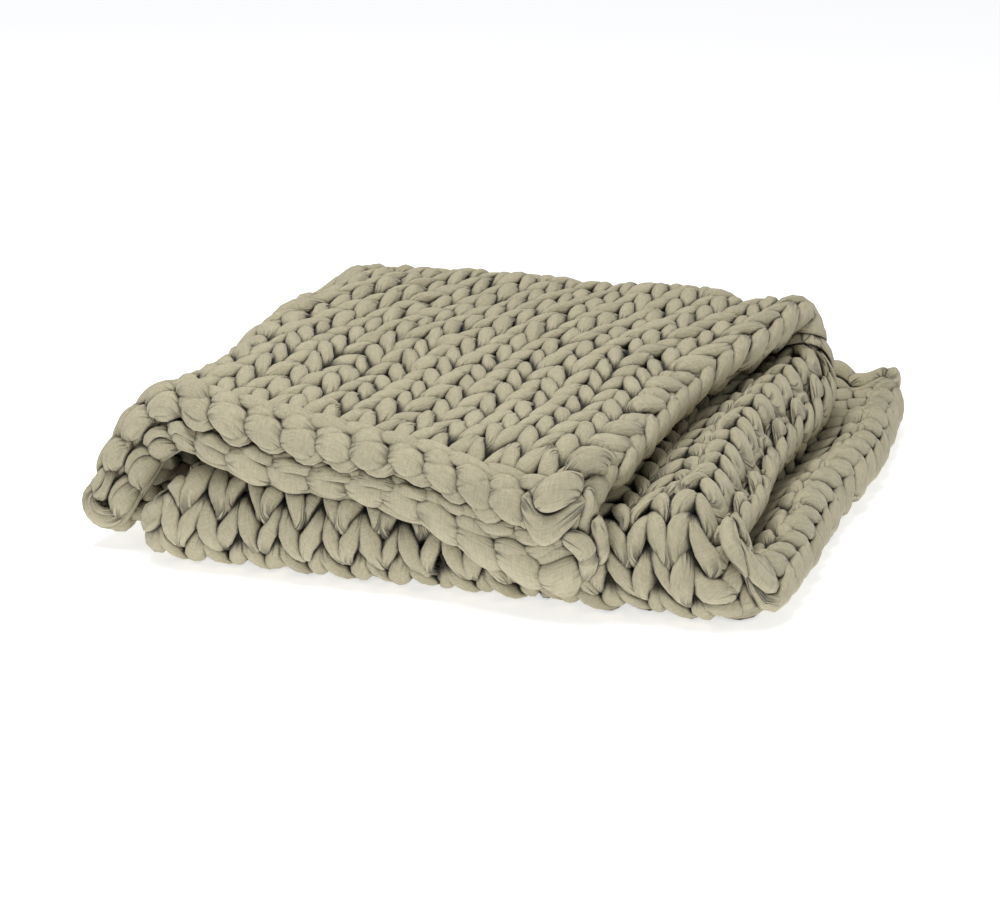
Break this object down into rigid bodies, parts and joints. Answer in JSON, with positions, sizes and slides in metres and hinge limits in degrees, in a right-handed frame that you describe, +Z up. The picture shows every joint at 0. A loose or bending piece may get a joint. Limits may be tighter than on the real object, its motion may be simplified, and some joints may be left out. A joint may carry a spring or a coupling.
{
  "type": "weighted blanket",
  "caption": "Chunky hand-knitted weighted blanket in stuffed cotton jersey yarn, folded in half and then in thirds, lying flat.",
  "frame": {"origin": "centre of the bounding box, on the surface that the folded blanket lies on", "axes": "+Z up, +X to the right with the folded edge at -X and the loose side edges at +X, +Y to the back, away from the bound-off front edge"},
  "size_m": [0.6586, 0.6886, 0.1765],
  "materials": {
    "cotton_jersey": "matte stuffed cotton jersey tube, sage green"
  },
  "bodies": {
    "root": {"knitted_blanket": "cotton_jersey"}
  },
  "joints": []
}
